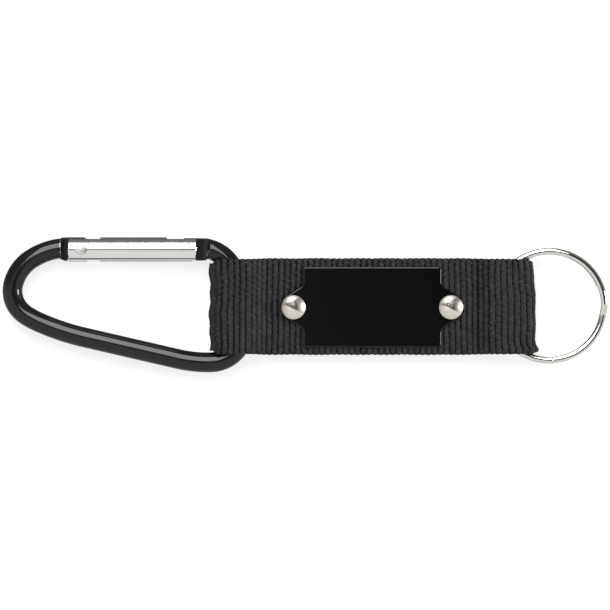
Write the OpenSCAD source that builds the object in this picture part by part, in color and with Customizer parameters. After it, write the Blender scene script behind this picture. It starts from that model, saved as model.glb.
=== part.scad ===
// Carabiner keyring: a snap hook and a split ring joined by a doubled webbing strap with a riveted plate.
// It lies flat: X runs along the strap towards the split ring, Z points up, and z = 0 is its lowest point.

/* [Snap hook] */
// Diameter of the bent rod
rod_d = 5.2; // [5:0.05:5.3]
// Thickness of the two flattened ends of the rod
tongue_t = 3.0; // [2.8:0.05:3.1]
// Height of the flattened end that carries the gate
tongue_h = 6.4; // [6:0.1:6.6]
// Height of the gate's axis above the strap's middle line, across the strap
gate_y = 14.42; // [14.3:0.02:14.5]
// Place of the gate's pivot along the strap
pivot_x = -57.9; // [-58:0.05:-57.8]

/* [Gate] */
// Diameter of the gate
gate_d = 6.4; // [6.2:0.1:6.6]
// Distance from the pivot to the gate's free end
gate_reach = 29.7; // [29.5:0.1:29.8]
// Distance from the pivot to the gate's hinge end
gate_tail = 3.52; // [3.3:0.02:3.6]
// Width of the saw slots at both ends of the gate
slot_w = 3.3; // [3.2:0.05:3.4]
// Diameter of the bore that holds the spring
spring_bore_d = 4.4; // [4.3:0.05:4.5]
// Diameter of the pivot rivet's shank
pivot_d = 2.0; // [1.8:0.05:2.1]
// Diameter of the pivot rivet's heads
pivot_head_d = 2.9; // [2.7:0.05:3]
// How far the gate opens, in degrees
gate_open = 45; // [30:1:45]
// How far the plunger is pushed back when the gate is open
plunger_travel = 1.6; // [1.2:0.05:1.6]

/* [Strap] */
// Width of the webbing
web_w = 25; // [24:0.5:25.5]
// Thickness of one layer of webbing
web_t = 1.25; // [1.1:0.05:1.3]
// Middle line of the strap, across its width
web_y = -0.4; // [-0.5:0.1:-0.3]
// Outermost point of the fold around the hook
fold_left = -24.7; // [-24.8:0.05:-24.6]
// Outermost point of the fold around the split ring
fold_right = 59.55; // [59.4:0.05:59.7]
// Place of the bend line beside the left rivet
bend_left = -9.2; // [-9.3:0.05:-9.1]
// Place of the bend line beside the right rivet
bend_right = 44.2; // [44.1:0.05:44.3]
// Half height of the tunnel that the hook's rod passes through
hook_tunnel = 3.0; // [2.95:0.05:3.1]
// Half height of the tunnel that the split ring passes through
ring_tunnel = 1.35; // [1.3:0.05:1.4]

/* [Name plate] */
// Length of the plate's rectangle
plate_l = 35.8; // [34:0.1:36]
// Width of the plate's rectangle
plate_w = 20.9; // [20:0.1:22]
// Thickness of the plate
plate_t = 0.5; // [0.4:0.05:0.8]
// Corner radius of the plate
plate_r = 0.8; // [0.5:0.1:1.5]
// Middle of the plate along the strap
plate_x = 17.45; // [17.3:0.05:17.6]
// Distance between the two rivets
rivet_spacing = 40.9; // [40.6:0.1:41]
// Middle line of the plate and rivets, across the strap
plate_y = -0.6; // [-0.8:0.1:-0.4]

/* [Rivets] */
// Diameter of a rivet cap
cap_d = 6.3; // [6:0.1:6.5]
// Height of a rivet cap
cap_h = 1.6; // [1.4:0.1:1.8]
// Diameter of a rivet post
post_d = 3.0; // [2.6:0.1:3.2]

/* [Split ring] */
// Outer diameter of the split ring
ring_d = 30; // [29.8:0.1:30.1]
// Width of the ring's wire, measured across the ring
wire_w = 1.7; // [1.5:0.05:1.8]
// Height of one coil of the ring
wire_h = 1.12; // [1:0.02:1.15]
// Centre of the ring along the strap
ring_x = 63.6; // [63.5:0.05:63.7]
// Centre of the ring across the strap
ring_y = -0.2; // [-0.3:0.05:-0.1]

/* [Hidden] */
$fn = 64;
hair = 0.004;
mid_z = hook_tunnel + web_t;
rod_r = rod_d / 2;
gate_r = gate_d / 2;
slide_gap = 0.02;
pivot_gap = 0.04;
strap_top = mid_z + web_t;

// The rod's centre line: where it starts beside the hinge, its heading there, and its bends.
// A bend is [radius, angle] and turns left, and a straight stretch is [0, length].
rod_start = [-64.45, 14.6];
rod_heading = 190.5;
rod_run = [[19, 21], [11, 45], [7.2, 53], [8.8, 19], [28, 8], [66, 10.5], [0, 24.7], [36, 14],
    [8.9, 99.5], [0, 11.8], [9.3, 62]];

// Hinge end: the cam face that pushes the plunger back, from the pivot outwards.
cam_reach = 1.5;
cam_rate = plunger_travel / (gate_open * PI / 180);
cam_angles = [35:-7:0];
function cam_point(a) = [
    (cam_reach + cam_rate * a * PI / 180) * cos(a) - cam_rate * sin(a),
    -(cam_reach + cam_rate * a * PI / 180) * sin(a) - cam_rate * cos(a)
];

// Gate: places along it, measured from the pivot.
hinge_slot_end = 4.7;
bore_end = 15;
nose_slot_start = 22;
nose_notch_start = 28.5;
nose_floor = -1.6;
plunger_face = cam_reach + 0.03;
plunger_head_l = 1.0;
plunger_stem_l = 6.5;
plunger_r = spring_bore_d / 2 - 0.08;
stem_r = 1.1;

// Coil spring behind the plunger.
spring_r = 1.7;
spring_wire_r = 0.22;
spring_turns = 8;
spring_from = plunger_face + plunger_head_l + spring_wire_r + 0.05;
spring_to = bore_end - spring_wire_r - 0.05;

// Bend lines: the round ends of the strap's stretches stand this far from the line.
bend_gap = 0.3;
bend_r = web_t;
end_off = bend_r + bend_gap;

// Folds, as circles along the strap.
hook_loop_r = hook_tunnel + web_t;
ring_loop_r = ring_tunnel + web_t;
hook_fold_x = fold_left + hook_loop_r;
hook_near_x = -15.6;
ring_fold_x = fold_right - ring_loop_r;
ring_near_x = 49.4;
butt_gap = 0.6;

// Rivets.
left_rivet_x = plate_x - rivet_spacing / 2;
right_rivet_x = plate_x + rivet_spacing / 2;
post_hole_r = post_d / 2 + 0.05;
cap_socket = 1.0;

// Split ring: angles round the ring, counted from +X.
ring_r = (ring_d - wire_w) / 2;
crown_r = 1.0;
coil_gap = 0.03;
cross_at = -5;
cross_span = 15;
cross_tilt = 19;
cross_r = 0.62;
upper_end = 273;
lower_end = 22;
coil_shift = 0.12;

// ---- shared shapes ----

// A round rod that follows straight stretches and left bends, starting at the origin along +X.
// Its child, if any, starts at its far end along its heading.
// Every second stretch is a hair thinner, and neighbours overlap by a little, so that they join cleanly.
module bent_rod(r, run, i = 0) {
    lap = 0.05;
    if (i == len(run)) {
        children();
    } else {
        bend = run[i][0];
        amount = run[i][1];
        own_r = r - hair * (i % 2);
        if (bend == 0) {
            translate([-lap, 0, 0]) rotate([0, 90, 0]) cylinder(r = own_r, h = amount + 2 * lap);
            translate([amount, 0, 0]) bent_rod(r, run, i + 1) children();
        } else {
            turn = lap / bend * 180 / PI;
            translate([0, bend, 0]) rotate([0, 0, -90 - turn])
                rotate_extrude(angle = amount + 2 * turn) translate([bend, 0]) circle(r = own_r);
            translate([0, bend, 0]) rotate([0, 0, amount]) translate([0, -bend, 0])
                bent_rod(r, run, i + 1) children();
        }
    }
}

// Outline round two circles on the X axis. The straight flanks run a hair inside the line that touches both.
module belt(x1, r1, x2, r2) {
    lean = asin((r1 - r2) / (x2 - x1));
    a = r1 - hair;
    b = r2 - hair;
    translate([x1, 0]) circle(r = r1);
    translate([x2, 0]) circle(r = r2);
    polygon([
        [x1 + a * sin(lean), -a * cos(lean)], [x2 + b * sin(lean), -b * cos(lean)],
        [x2 + b * sin(lean), b * cos(lean)], [x1 + a * sin(lean), a * cos(lean)]
    ]);
}

// A side view in X and Z, drawn out across the strap's width.
module across_strap(width = web_w) {
    translate([0, web_y + width / 2, mid_z]) rotate([90, 0, 0]) linear_extrude(height = width)
        children();
}

// A side view in X and Y, centred on the hook's middle plane.
module flat_piece(thickness) {
    translate([0, 0, mid_z - thickness / 2]) linear_extrude(height = thickness) children();
}

module rivet_hole(x) {
    translate([x, plate_y, mid_z - 5]) cylinder(r = post_hole_r, h = 10);
}

// ---- snap hook ----

module hinge_tongue_outline() {
    half = tongue_h / 2;
    polygon(concat(
        [[-5.6, -rod_r], [-3.4, -half]],
        [for (a = cam_angles) cam_point(a)],
        [[cam_reach, half - 1], [0.6, half], [-5.2, half], [-6.1, rod_r], [-7, 0]]
    ));
}

module nose_tongue_outline() {
    tip = -32.3;
    root = -25.2;
    top = 2.98;
    bottom = -2.9;
    inside = nose_floor + 0.1;
    polygon([
        [tip, inside], [-29.2, inside], [-28.6, bottom], [root, bottom], [root + 1.6, 0],
        [root, top], [tip + 0.9, top], [tip, top - 1.2]
    ]);
}

// The pressed shoulder between the round rod and a flattened end, from the origin along +X.
module shoulder() {
    length = 2.2;
    lap = 0.05;
    wide = rod_r + 0.1;
    flat = tongue_t / 2 - hair;
    intersection() {
        translate([-lap, 0, 0]) rotate([0, 90, 0]) cylinder(r = rod_r - hair / 2, h = length + lap);
        rotate([90, 0, 0]) linear_extrude(height = rod_d + 1, center = true)
            polygon([[-1, -wide], [0.3, -wide], [1.4, -flat], [length + 1, -flat],
                [length + 1, flat], [1.4, flat], [0.3, wide], [-1, wide]]);
    }
}

module carabiner_body() {
    color("#151516") difference() {
        union() {
            translate([rod_start[0], rod_start[1], mid_z]) rotate([0, 0, rod_heading]) {
                bent_rod(rod_r, rod_run) shoulder();
                mirror([1, 0, 0]) shoulder();
            }
            translate([pivot_x, gate_y, 0]) flat_piece(tongue_t) hinge_tongue_outline();
            translate([0, gate_y, 0]) flat_piece(tongue_t) nose_tongue_outline();
        }
        translate([pivot_x, gate_y, 0]) cylinder(r = pivot_d / 2 + pivot_gap, h = 2 * mid_z);
    }
}

// ---- gate ----

module gate() {
    color("#d4d6d8") translate([pivot_x, gate_y, mid_z]) difference() {
        translate([-gate_tail, 0, 0]) rotate([0, 90, 0]) cylinder(r = gate_r, h = gate_tail + gate_reach);
        translate([-gate_tail - 1, 0, 0]) rotate([0, 90, 0])
            cylinder(r = spring_bore_d / 2, h = bore_end + gate_tail + 1);
        translate([-gate_tail - 1, -gate_r - 1, -slot_w / 2])
            cube([hinge_slot_end + gate_tail + 1, gate_d + 2, slot_w]);
        translate([nose_slot_start, nose_floor, -slot_w / 2]) cube([10, gate_d, slot_w]);
        translate([nose_notch_start, -gate_r - 1, -slot_w / 2]) cube([5, gate_d, slot_w]);
        translate([0, 0, -gate_r - 1]) cylinder(r = pivot_d / 2 + slide_gap, h = gate_d + 2);
        for (side = [0, 180]) rotate([side, 0, 0])
            translate([0, 0, gate_r - 0.45]) cylinder(r = pivot_head_d / 2 + slide_gap, h = 2);
    }
}

module gate_rivet() {
    head_z = gate_r - 0.43;
    dome_r = 5;
    color("#c9cbce") translate([pivot_x, gate_y, mid_z]) {
        translate([0, 0, -head_z]) cylinder(r = pivot_d / 2, h = 2 * head_z);
        for (side = [0, 180]) rotate([side, 0, 0]) intersection() {
            translate([0, 0, head_z]) cylinder(r = pivot_head_d / 2, h = 1);
            translate([0, 0, gate_r - dome_r]) sphere(r = dome_r);
        }
    }
}

module gate_plunger() {
    color("#b8b0a0") translate([pivot_x + plunger_face, gate_y, mid_z]) rotate([0, 90, 0]) {
        cylinder(r = plunger_r, h = plunger_head_l);
        cylinder(r = stem_r, h = plunger_head_l + plunger_stem_l);
    }
}

// A wire that follows a helix along +X, as rings of points joined by quads.
module helix(r, wire_r, turns, length, steps = 16, sides = 6) {
    rings = turns * steps;
    points = [for (i = [0:rings], k = [0:sides - 1])
        let (a = 360 * i / steps, b = 360 * k / sides, out = r + wire_r * cos(b))
        [length * i / rings + wire_r * sin(b), out * cos(a), out * sin(a)]];
    walls = [for (i = [0:rings - 1], k = [0:sides - 1])
        let (n = (k + 1) % sides)
        [i * sides + k, (i + 1) * sides + k, (i + 1) * sides + n, i * sides + n]];
    caps = [[for (k = [0:sides - 1]) k], [for (k = [sides - 1:-1:0]) rings * sides + k]];
    polyhedron(points, concat(walls, caps));
}

module gate_spring() {
    color("#9da0a4") translate([pivot_x + spring_from, gate_y, mid_z])
        helix(spring_r, spring_wire_r, spring_turns, spring_to - spring_from);
}

// ---- strap ----

module strap_core() {
    difference() {
        across_strap() belt(bend_left + end_off, bend_r, bend_right - end_off, bend_r);
        rivet_hole(left_rivet_x);
        rivet_hole(right_rivet_x);
    }
}

module layer_of_core(from_x, to_x, from_z) {
    intersection() {
        strap_core();
        translate([from_x, web_y - web_w / 2 - 1, from_z]) cube([to_x - from_x, web_w + 2, web_t + 1]);
    }
}

module webbing_front() {
    color("#26262a") layer_of_core(bend_left, bend_right, mid_z);
}

module webbing_back_left() {
    color("#232327") layer_of_core(bend_left, plate_x - butt_gap / 2, mid_z - web_t - 1);
}

module webbing_back_right() {
    color("#232327") layer_of_core(plate_x + butt_gap / 2, bend_right, mid_z - web_t - 1);
}

module webbing_left_loop() {
    corner_l = 4.4;
    corner_w = 2.2;
    corner_h = hook_tunnel + 0.6;
    color("#26262a") difference() {
        across_strap() {
            belt(hook_fold_x, hook_loop_r, hook_near_x, hook_loop_r);
            belt(hook_near_x, hook_loop_r, bend_left - end_off, bend_r);
        }
        across_strap(web_w + 2) belt(hook_fold_x, hook_tunnel, hook_near_x, hook_tunnel);
        for (y = [web_y - web_w / 2 - 1, web_y + web_w / 2 + 1 - corner_w])
            translate([fold_left - 0.1, y, mid_z - corner_h]) cube([corner_l, corner_w, 2 * corner_h]);
    }
}

module webbing_right_loop() {
    inner_r = ring_d / 2 - wire_w - 0.35;
    outer_r = ring_d / 2 + 0.45;
    color("#26262a") difference() {
        across_strap() {
            belt(ring_near_x + 0.8, ring_loop_r, ring_fold_x, ring_loop_r);
            belt(bend_right + end_off, bend_r, ring_near_x + 0.8, ring_loop_r);
        }
        across_strap(web_w + 2) belt(ring_near_x, ring_tunnel, ring_fold_x, ring_tunnel);
        translate([ring_x, ring_y, mid_z - ring_tunnel]) rotate_extrude()
            translate([inner_r, 0]) square([outer_r - inner_r, 2 * ring_tunnel]);
    }
}

// ---- plate and rivets ----

module ear_outline() {
    circle(r = 3.45);
    polygon([[2.65, 6.1], [1.6, 4.95], [-1.2, 3.2], [-1.2, -3.2], [1.6, -4.95], [2.65, -6.1]]);
}

module plate_outline() {
    l = plate_l / 2;
    w = plate_w / 2;
    square([plate_l - 2 * plate_r, plate_w], center = true);
    square([plate_l, plate_w - 2 * plate_r], center = true);
    for (sx = [-1, 1], sy = [-1, 1]) translate([sx * (l - plate_r), sy * (w - plate_r)])
        circle(r = plate_r);
    for (side = [0, 180]) rotate(side) translate([-rivet_spacing / 2, 0]) ear_outline();
}

module name_plate() {
    color("#0c0c0d") difference() {
        translate([plate_x, plate_y, strap_top]) linear_extrude(height = plate_t) plate_outline();
        rivet_hole(left_rivet_x);
        rivet_hole(right_rivet_x);
    }
}

// A domed cap whose flat side is at the origin.
module dome(height) {
    brim = 0.35;
    ball_r = (pow(cap_d / 2, 2) + pow(height - brim, 2)) / (2 * (height - brim));
    cylinder(d = cap_d, h = brim);
    intersection() {
        translate([0, 0, brim]) cylinder(d = cap_d, h = height);
        translate([0, 0, height - ball_r]) sphere(r = ball_r);
    }
}

module rivet_cap(x) {
    color("#cfcfcc") translate([x, plate_y, strap_top + plate_t]) difference() {
        dome(cap_h);
        translate([0, 0, -1]) cylinder(r = post_d / 2 + slide_gap, h = 1 + cap_socket);
    }
}

module rivet_post(x) {
    base_z = mid_z - web_t;
    color("#c4c4c1") translate([x, plate_y, base_z]) {
        cylinder(r = post_d / 2, h = 2 * web_t + plate_t + cap_socket - slide_gap);
        mirror([0, 0, 1]) dome(cap_h - 0.2);
    }
}

module left_rivet_cap() { rivet_cap(left_rivet_x); }
module left_rivet_post() { rivet_post(left_rivet_x); }
module right_rivet_cap() { rivet_cap(right_rivet_x); }
module right_rivet_post() { rivet_post(right_rivet_x); }

// ---- split ring ----

// The wire of one coil in cross-section: flat where the coils meet and round on the outside.
module wire_section() {
    translate([ring_r, 0]) intersection() {
        translate([0, wire_h - crown_r + coil_gap]) circle(r = crown_r);
        translate([-wire_w / 2, coil_gap]) square([wire_w, wire_h]);
    }
}

module split_ring() {
    color("#c8c8c6") translate([ring_x, ring_y, mid_z]) {
        rotate([0, 0, cross_at + 4]) rotate_extrude(angle = upper_end - cross_at - 4) wire_section();
        translate([-coil_shift, 0, 0]) mirror([0, 0, 1]) rotate([0, 0, lower_end])
            rotate_extrude(angle = 360 + cross_at - 4 - lower_end) wire_section();
        rotate([0, 0, cross_at]) translate([ring_r, 0, 0]) rotate([cross_tilt, 0, 0])
            translate([-ring_r, 0, 0]) rotate([0, 0, -cross_span / 2])
            rotate_extrude(angle = cross_span) translate([ring_r, 0]) circle(r = cross_r);
    }
}

carabiner_body();
gate();
gate_rivet();
gate_plunger();
gate_spring();
webbing_left_loop();
webbing_front();
webbing_back_left();
webbing_back_right();
webbing_right_loop();
name_plate();
left_rivet_cap();
left_rivet_post();
right_rivet_cap();
right_rivet_post();
split_ring();
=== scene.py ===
"""Carabiner keyring: the finished surfaces of a snap hook, a riveted webbing strap and a split ring."""

import math
import bpy
import numpy as np
from mathutils import Matrix, Vector


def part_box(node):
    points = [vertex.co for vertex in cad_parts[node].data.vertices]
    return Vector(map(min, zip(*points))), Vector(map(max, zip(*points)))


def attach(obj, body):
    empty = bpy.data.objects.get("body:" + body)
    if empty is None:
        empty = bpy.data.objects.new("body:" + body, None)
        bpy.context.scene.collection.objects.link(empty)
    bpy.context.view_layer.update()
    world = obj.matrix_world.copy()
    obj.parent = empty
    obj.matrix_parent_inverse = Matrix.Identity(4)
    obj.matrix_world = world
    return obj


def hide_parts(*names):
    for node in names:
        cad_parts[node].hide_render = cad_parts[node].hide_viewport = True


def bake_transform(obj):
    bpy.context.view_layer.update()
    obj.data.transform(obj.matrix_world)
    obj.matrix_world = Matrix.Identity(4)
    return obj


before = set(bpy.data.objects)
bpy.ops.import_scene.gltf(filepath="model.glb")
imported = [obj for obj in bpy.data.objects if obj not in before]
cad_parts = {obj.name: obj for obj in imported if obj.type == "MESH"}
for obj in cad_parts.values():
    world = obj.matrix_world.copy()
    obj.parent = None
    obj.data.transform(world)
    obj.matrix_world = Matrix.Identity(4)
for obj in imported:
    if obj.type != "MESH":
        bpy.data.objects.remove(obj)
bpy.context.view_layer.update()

bl_info = {
    "name": "Carabiner Keyring",
    "version": (1, 0, 0),
    "blender": (4, 5, 0),
    "location": "View3D > Sidebar > Keyring",
    "description": "Finishes a webbing keyring with a snap hook, a riveted plate and a split ring",
    "category": "Object",
}

MM = 0.001
HOOK_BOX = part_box("carabiner_body")
GATE_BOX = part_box("gate")
PIVOT_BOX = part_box("gate_rivet")
PLATE_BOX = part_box("name_plate")
RING_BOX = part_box("split_ring")
FRONT_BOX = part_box("webbing_front")
BACK_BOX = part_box("webbing_back_left")
LEFT_LOOP_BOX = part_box("webbing_left_loop")
RIGHT_LOOP_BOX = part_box("webbing_right_loop")
MID_Z = (HOOK_BOX[0].z + HOOK_BOX[1].z) / 2
LAYER = (FRONT_BOX[1].z - MID_Z) / 2  # half the webbing's thickness
SMOOTH_BELOW = math.radians(40)


def middle(box):
    """The centre of a node's box."""
    return (box[0] + box[1]) / 2


# ---- sizes and colours that can be changed ----


class HookSettings(bpy.types.PropertyGroup):
    rod_diameter: bpy.props.FloatProperty(
        name="Rod Diameter", description="Diameter of the bent rod", unit="LENGTH",
        default=HOOK_BOX[1].z - HOOK_BOX[0].z, min=1 * MM)
    tongue_thickness: bpy.props.FloatProperty(
        name="Tongue Thickness", description="Thickness of the pressed ends", unit="LENGTH",
        default=3.0 * MM, min=1 * MM)
    lacquer: bpy.props.FloatVectorProperty(
        name="Lacquer", description="Colour of the baked black lacquer", subtype="COLOR",
        default=(0.0042, 0.0042, 0.0046), min=0, max=1)
    bare_metal: bpy.props.FloatVectorProperty(
        name="Bare Metal", description="Colour where the lacquer is rubbed off", subtype="COLOR",
        default=(0.78, 0.79, 0.8), min=0, max=1)


class GateSettings(bpy.types.PropertyGroup):
    slot_width: bpy.props.FloatProperty(
        name="Slot Width", description="Width of the saw slots at both ends", unit="LENGTH",
        default=3.3 * MM, min=1 * MM)
    bore_diameter: bpy.props.FloatProperty(
        name="Bore Diameter", description="Diameter of the spring's bore", unit="LENGTH",
        default=4.4 * MM, min=1 * MM)
    edge_break: bpy.props.FloatProperty(
        name="Edge Break", description="Width of the broken edges", unit="LENGTH",
        default=0.12 * MM, min=0)
    aluminium: bpy.props.FloatVectorProperty(
        name="Aluminium", description="Colour of the satin aluminium", subtype="COLOR",
        default=(0.86, 0.865, 0.87), min=0, max=1)
    steel: bpy.props.FloatVectorProperty(
        name="Steel", description="Colour of the pivot, plunger and spring", subtype="COLOR",
        default=(0.62, 0.61, 0.6), min=0, max=1)


class StrapSettings(bpy.types.PropertyGroup):
    rib_pitch: bpy.props.FloatProperty(
        name="Rib Pitch", description="Distance between two crosswise ribs", unit="LENGTH",
        default=1.53 * MM, min=0.5 * MM)
    rib_depth: bpy.props.FloatProperty(
        name="Rib Depth", description="Depth of the grooves between the ribs", unit="LENGTH",
        default=0.46 * MM, min=0)
    float_width: bpy.props.FloatProperty(
        name="Float Width", description="Width of one bundle of yarn on a rib", unit="LENGTH",
        default=1.56 * MM, min=0.4 * MM)
    yarn: bpy.props.FloatVectorProperty(
        name="Yarn", description="Colour of the black polyester yarn", subtype="COLOR",
        default=(0.0098, 0.0097, 0.0104), min=0, max=1)


class PlateSettings(bpy.types.PropertyGroup):
    corner_radius: bpy.props.FloatProperty(
        name="Corner Radius", description="Radius of the plate's corners", unit="LENGTH",
        default=0.8 * MM, min=0.1 * MM)
    edge_radius: bpy.props.FloatProperty(
        name="Edge Radius", description="Rounding of the plate's rim", unit="LENGTH",
        default=0.3 * MM, min=0.02 * MM)
    enamel: bpy.props.FloatVectorProperty(
        name="Enamel", description="Colour of the gloss black enamel", subtype="COLOR",
        default=(0.0022, 0.0022, 0.0025), min=0, max=1)


class MetalSettings(bpy.types.PropertyGroup):
    ring_wire_width: bpy.props.FloatProperty(
        name="Ring Wire Width", description="Width of the split ring's wire", unit="LENGTH",
        default=1.7 * MM, min=0.5 * MM)
    ring_wire_height: bpy.props.FloatProperty(
        name="Ring Wire Height", description="Height of the split ring's wire", unit="LENGTH",
        default=1.12 * MM, min=0.3 * MM)
    rivet_diameter: bpy.props.FloatProperty(
        name="Rivet Diameter", description="Diameter of the rivet caps", unit="LENGTH",
        default=6.3 * MM, min=2 * MM)
    nickel: bpy.props.FloatVectorProperty(
        name="Nickel", description="Colour of the nickel plate", subtype="COLOR",
        default=(0.78, 0.765, 0.74), min=0, max=1)


class StageSettings(bpy.types.PropertyGroup):
    frame_width: bpy.props.FloatProperty(
        name="Frame Width", description="Width that the camera sees", unit="LENGTH",
        default=158.6 * MM, min=10 * MM)
    floor: bpy.props.FloatVectorProperty(
        name="Floor", description="Colour of the floor", subtype="COLOR",
        default=(0.3, 0.3, 0.3), min=0, max=1)


# ---- curves and meshes ----


def new_piece(name, points, faces, material):
    """A mesh object from points in metres, smooth but for its sharper edges."""
    mesh = bpy.data.meshes.new(name)
    mesh.from_pydata([tuple(p) for p in points], [], faces)
    mesh.validate()
    mesh.shade_smooth()
    mesh.set_sharp_from_angle(angle=SMOOTH_BELOW)
    piece = bpy.data.objects.new(name, mesh)
    bpy.context.scene.collection.objects.link(piece)
    mesh.materials.append(material)
    return piece


def full_turn(sides):
    """Angles evenly round a circle."""
    return np.linspace(0, 2 * math.pi, sides, endpoint=False)


def loft(rings):
    """Points and faces of a closed skin over rings of points, with a flat face at each end."""
    rings = np.asarray(rings, float)
    count, sides = rings.shape[:2]
    k = np.arange(sides)
    after = (k + 1) % sides
    faces = []
    for i in range(count - 1):
        here, there = i * sides, (i + 1) * sides
        faces.extend(np.stack([here + k, here + after, there + after, there + k], 1).tolist())
    faces.append(k[::-1].tolist())
    faces.append(((count - 1) * sides + k).tolist())
    return rings.reshape(-1, 3), faces


def lathe(profile, centre):
    """Points and faces of a turned solid about the Z axis, from a profile of radius and height."""
    turn = full_turn(72)
    rings = [
        np.stack([r * np.cos(turn), r * np.sin(turn), np.full(len(turn), z)], 1) + np.array(centre)
        for r, z in profile
    ]
    return loft(rings)


def rounded(points, radii, closed=True, steps=10):
    """A polygon or open line with its corners rounded, as a list of points in a plane."""
    count = len(points)
    out = []
    for i in range(count):
        here = Vector(points[i])
        if radii[i] == 0 or (not closed and i in (0, count - 1)):
            out.append(tuple(here))
            continue
        before = (Vector(points[i - 1]) - here).normalized()
        after = (Vector(points[(i + 1) % count]) - here).normalized()
        half = before.angle(after) / 2
        centre = here + (before + after).normalized() * radii[i] / math.sin(half)
        start = here + before * radii[i] / math.tan(half) - centre
        end = here + after * radii[i] / math.tan(half) - centre
        turn = start.angle_signed(end)
        for k in range(steps + 1):
            spin = Matrix.Rotation(-turn * k / steps, 2)
            out.append(tuple(centre + spin @ start))
    return out


def evenly(points, step):
    """Points along a line in a plane, evenly spaced, with the line's length."""
    line = np.array(points, float)
    lengths = np.concatenate([[0], np.cumsum(np.linalg.norm(np.diff(line, axis=0), axis=1))])
    stations = np.arange(0, lengths[-1] + step / 2, step)
    stations[-1] = lengths[-1]
    along = np.stack([np.interp(stations, lengths, line[:, c]) for c in (0, 1)], 1)
    return along, stations


def squared(turn, power):
    """Cosine and sine of an angle on a circle that is squared off by its power."""
    c, s = np.cos(turn), np.sin(turn)
    return (np.sign(c) * np.abs(c) ** (2 / power), np.sign(s) * np.abs(s) ** (2 / power))


def ease(x, start, end):
    """Goes smoothly from 0 at start to 1 at end."""
    t = np.clip((x - start) / (end - start), 0, 1)
    return t * t * (3 - 2 * t)


def set_values(piece, name, values):
    """Stores one number for each point of a piece."""
    attribute = piece.data.attributes.new(name, "FLOAT", "POINT")
    attribute.data.foreach_set("value", np.asarray(values, np.float32))


def cut(piece, cutters):
    """Cuts closed meshes out of a piece and removes them."""
    for cutter in cutters:
        change = piece.modifiers.new("cut", "BOOLEAN")
        change.operation = "DIFFERENCE"
        change.solver = "EXACT"
        change.object = cutter
    apply_changes(piece)
    for cutter in cutters:
        bpy.data.objects.remove(cutter)


def apply_changes(piece):
    """Makes a piece's modifiers part of its mesh."""
    bpy.context.view_layer.update()
    graph = bpy.context.evaluated_depsgraph_get()
    mesh = bpy.data.meshes.new_from_object(piece.evaluated_get(graph))
    piece.modifiers.clear()
    piece.data = mesh


def bar(name, start, end, radius):
    """A round bar from one point to another, used as a cutter."""
    sides = 64
    start, end = Vector(start), Vector(end)
    turn = (end - start).to_track_quat("Z", "Y").to_matrix()
    angles = [2 * math.pi * (k + 0.5) / sides for k in range(sides)]
    rings = [
        [place + turn @ Vector((radius * math.cos(a), radius * math.sin(a), 0)) for a in angles]
        for place in (start, end)
    ]
    return new_piece(name, *loft(rings), bpy.data.materials.new(name))


def block(name, low, high):
    """A box between two corners, used as a cutter."""
    low, high = Vector(low), Vector(high)
    rings = [
        [(x, low.y, low.z), (x, high.y, low.z), (x, high.y, high.z), (x, low.y, high.z)]
        for x in (low.x, high.x)
    ]
    return new_piece(name, *loft(rings), bpy.data.materials.new(name))


# ---- materials ----


class Nodes:
    """A node tree being put together."""

    def __init__(self, tree):
        self.tree = tree
        self.tree.nodes.clear()

    def node(self, kind, **settings):
        """A new node with its settings."""
        made = self.tree.nodes.new(kind)
        for key, value in settings.items():
            setattr(made, key, value)
        return made

    def link(self, source, output, target, socket):
        self.tree.links.new(source.outputs[output], target.inputs[socket])

    def spread(self, source, output, low, high, start=0.0, end=1.0, **settings):
        """Maps a number from its range onto another."""
        made = self.node("ShaderNodeMapRange", **settings)
        made.inputs["From Min"].default_value = low
        made.inputs["From Max"].default_value = high
        made.inputs["To Min"].default_value = start
        made.inputs["To Max"].default_value = end
        self.link(source, output, made, "Value")
        return made

    def product(self, first, second):
        """Two numbers multiplied."""
        made = self.node("ShaderNodeMath", operation="MULTIPLY")
        self.link(first, 0, made, 0)
        self.link(second, 0, made, 1)
        return made


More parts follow.
